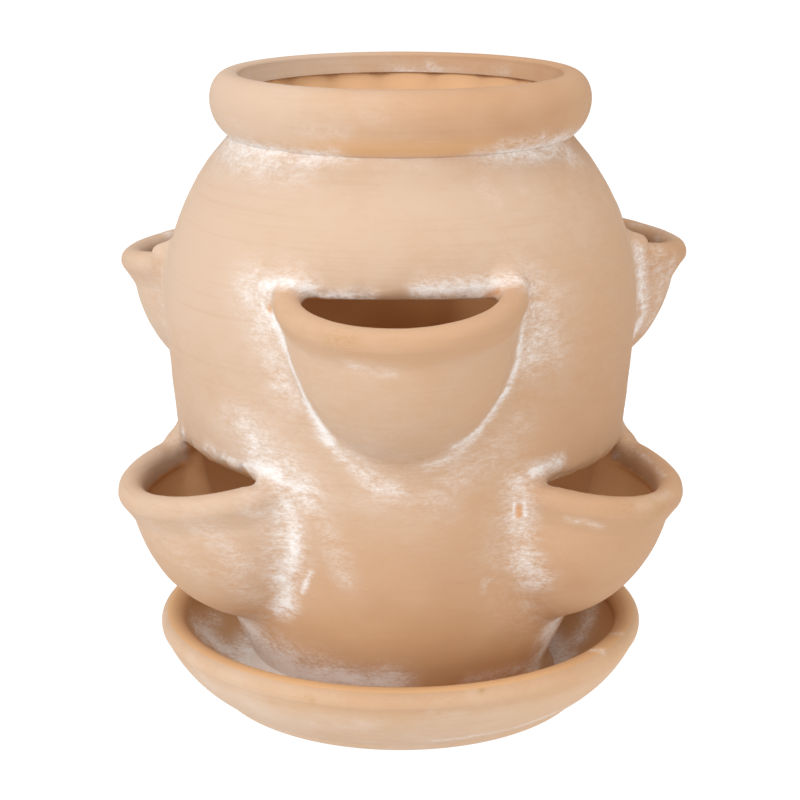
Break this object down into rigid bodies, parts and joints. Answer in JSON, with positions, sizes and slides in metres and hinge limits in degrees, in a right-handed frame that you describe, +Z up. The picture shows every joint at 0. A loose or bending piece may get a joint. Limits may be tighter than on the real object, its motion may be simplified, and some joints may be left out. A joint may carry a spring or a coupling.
{
  "type": "strawberry jar planter",
  "caption": "Round-bellied terracotta jar with staggered side pockets for strawberries or herbs, a fat rolled rim and a loose drip saucer.",
  "frame": {"origin": "centre of the saucer's resting face, on the jar's axis", "axes": "+Z up along the jar's axis; -Y is the front, where one upper pocket faces; +X is the right side seen from the front"},
  "size_m": [0.2813, 0.2997, 0.305],
  "materials": {
    "jar_terracotta": "matt unglazed terracotta with fine throwing lines and a white lime wash left in its recesses",
    "saucer_terracotta": "matt unglazed terracotta with faint wash on its wall and stronger wash on its floor"
  },
  "bodies": {
    "saucer": {"saucer": "saucer_terracotta"},
    "jar": {"jar_body": "jar_terracotta", "upper_pocket_front": "jar_terracotta", "upper_pocket_rear_right": "jar_terracotta", "upper_pocket_rear_left": "jar_terracotta", "lower_pocket_right": "jar_terracotta", "lower_pocket_rear": "jar_terracotta", "lower_pocket_left": "jar_terracotta"}
  },
  "joints": [
    {"name": "jar_lift", "type": "slide", "parent": "saucer", "child": "jar", "axis": [0, 0, 1], "range_m": [0, 0.05]}
  ]
}
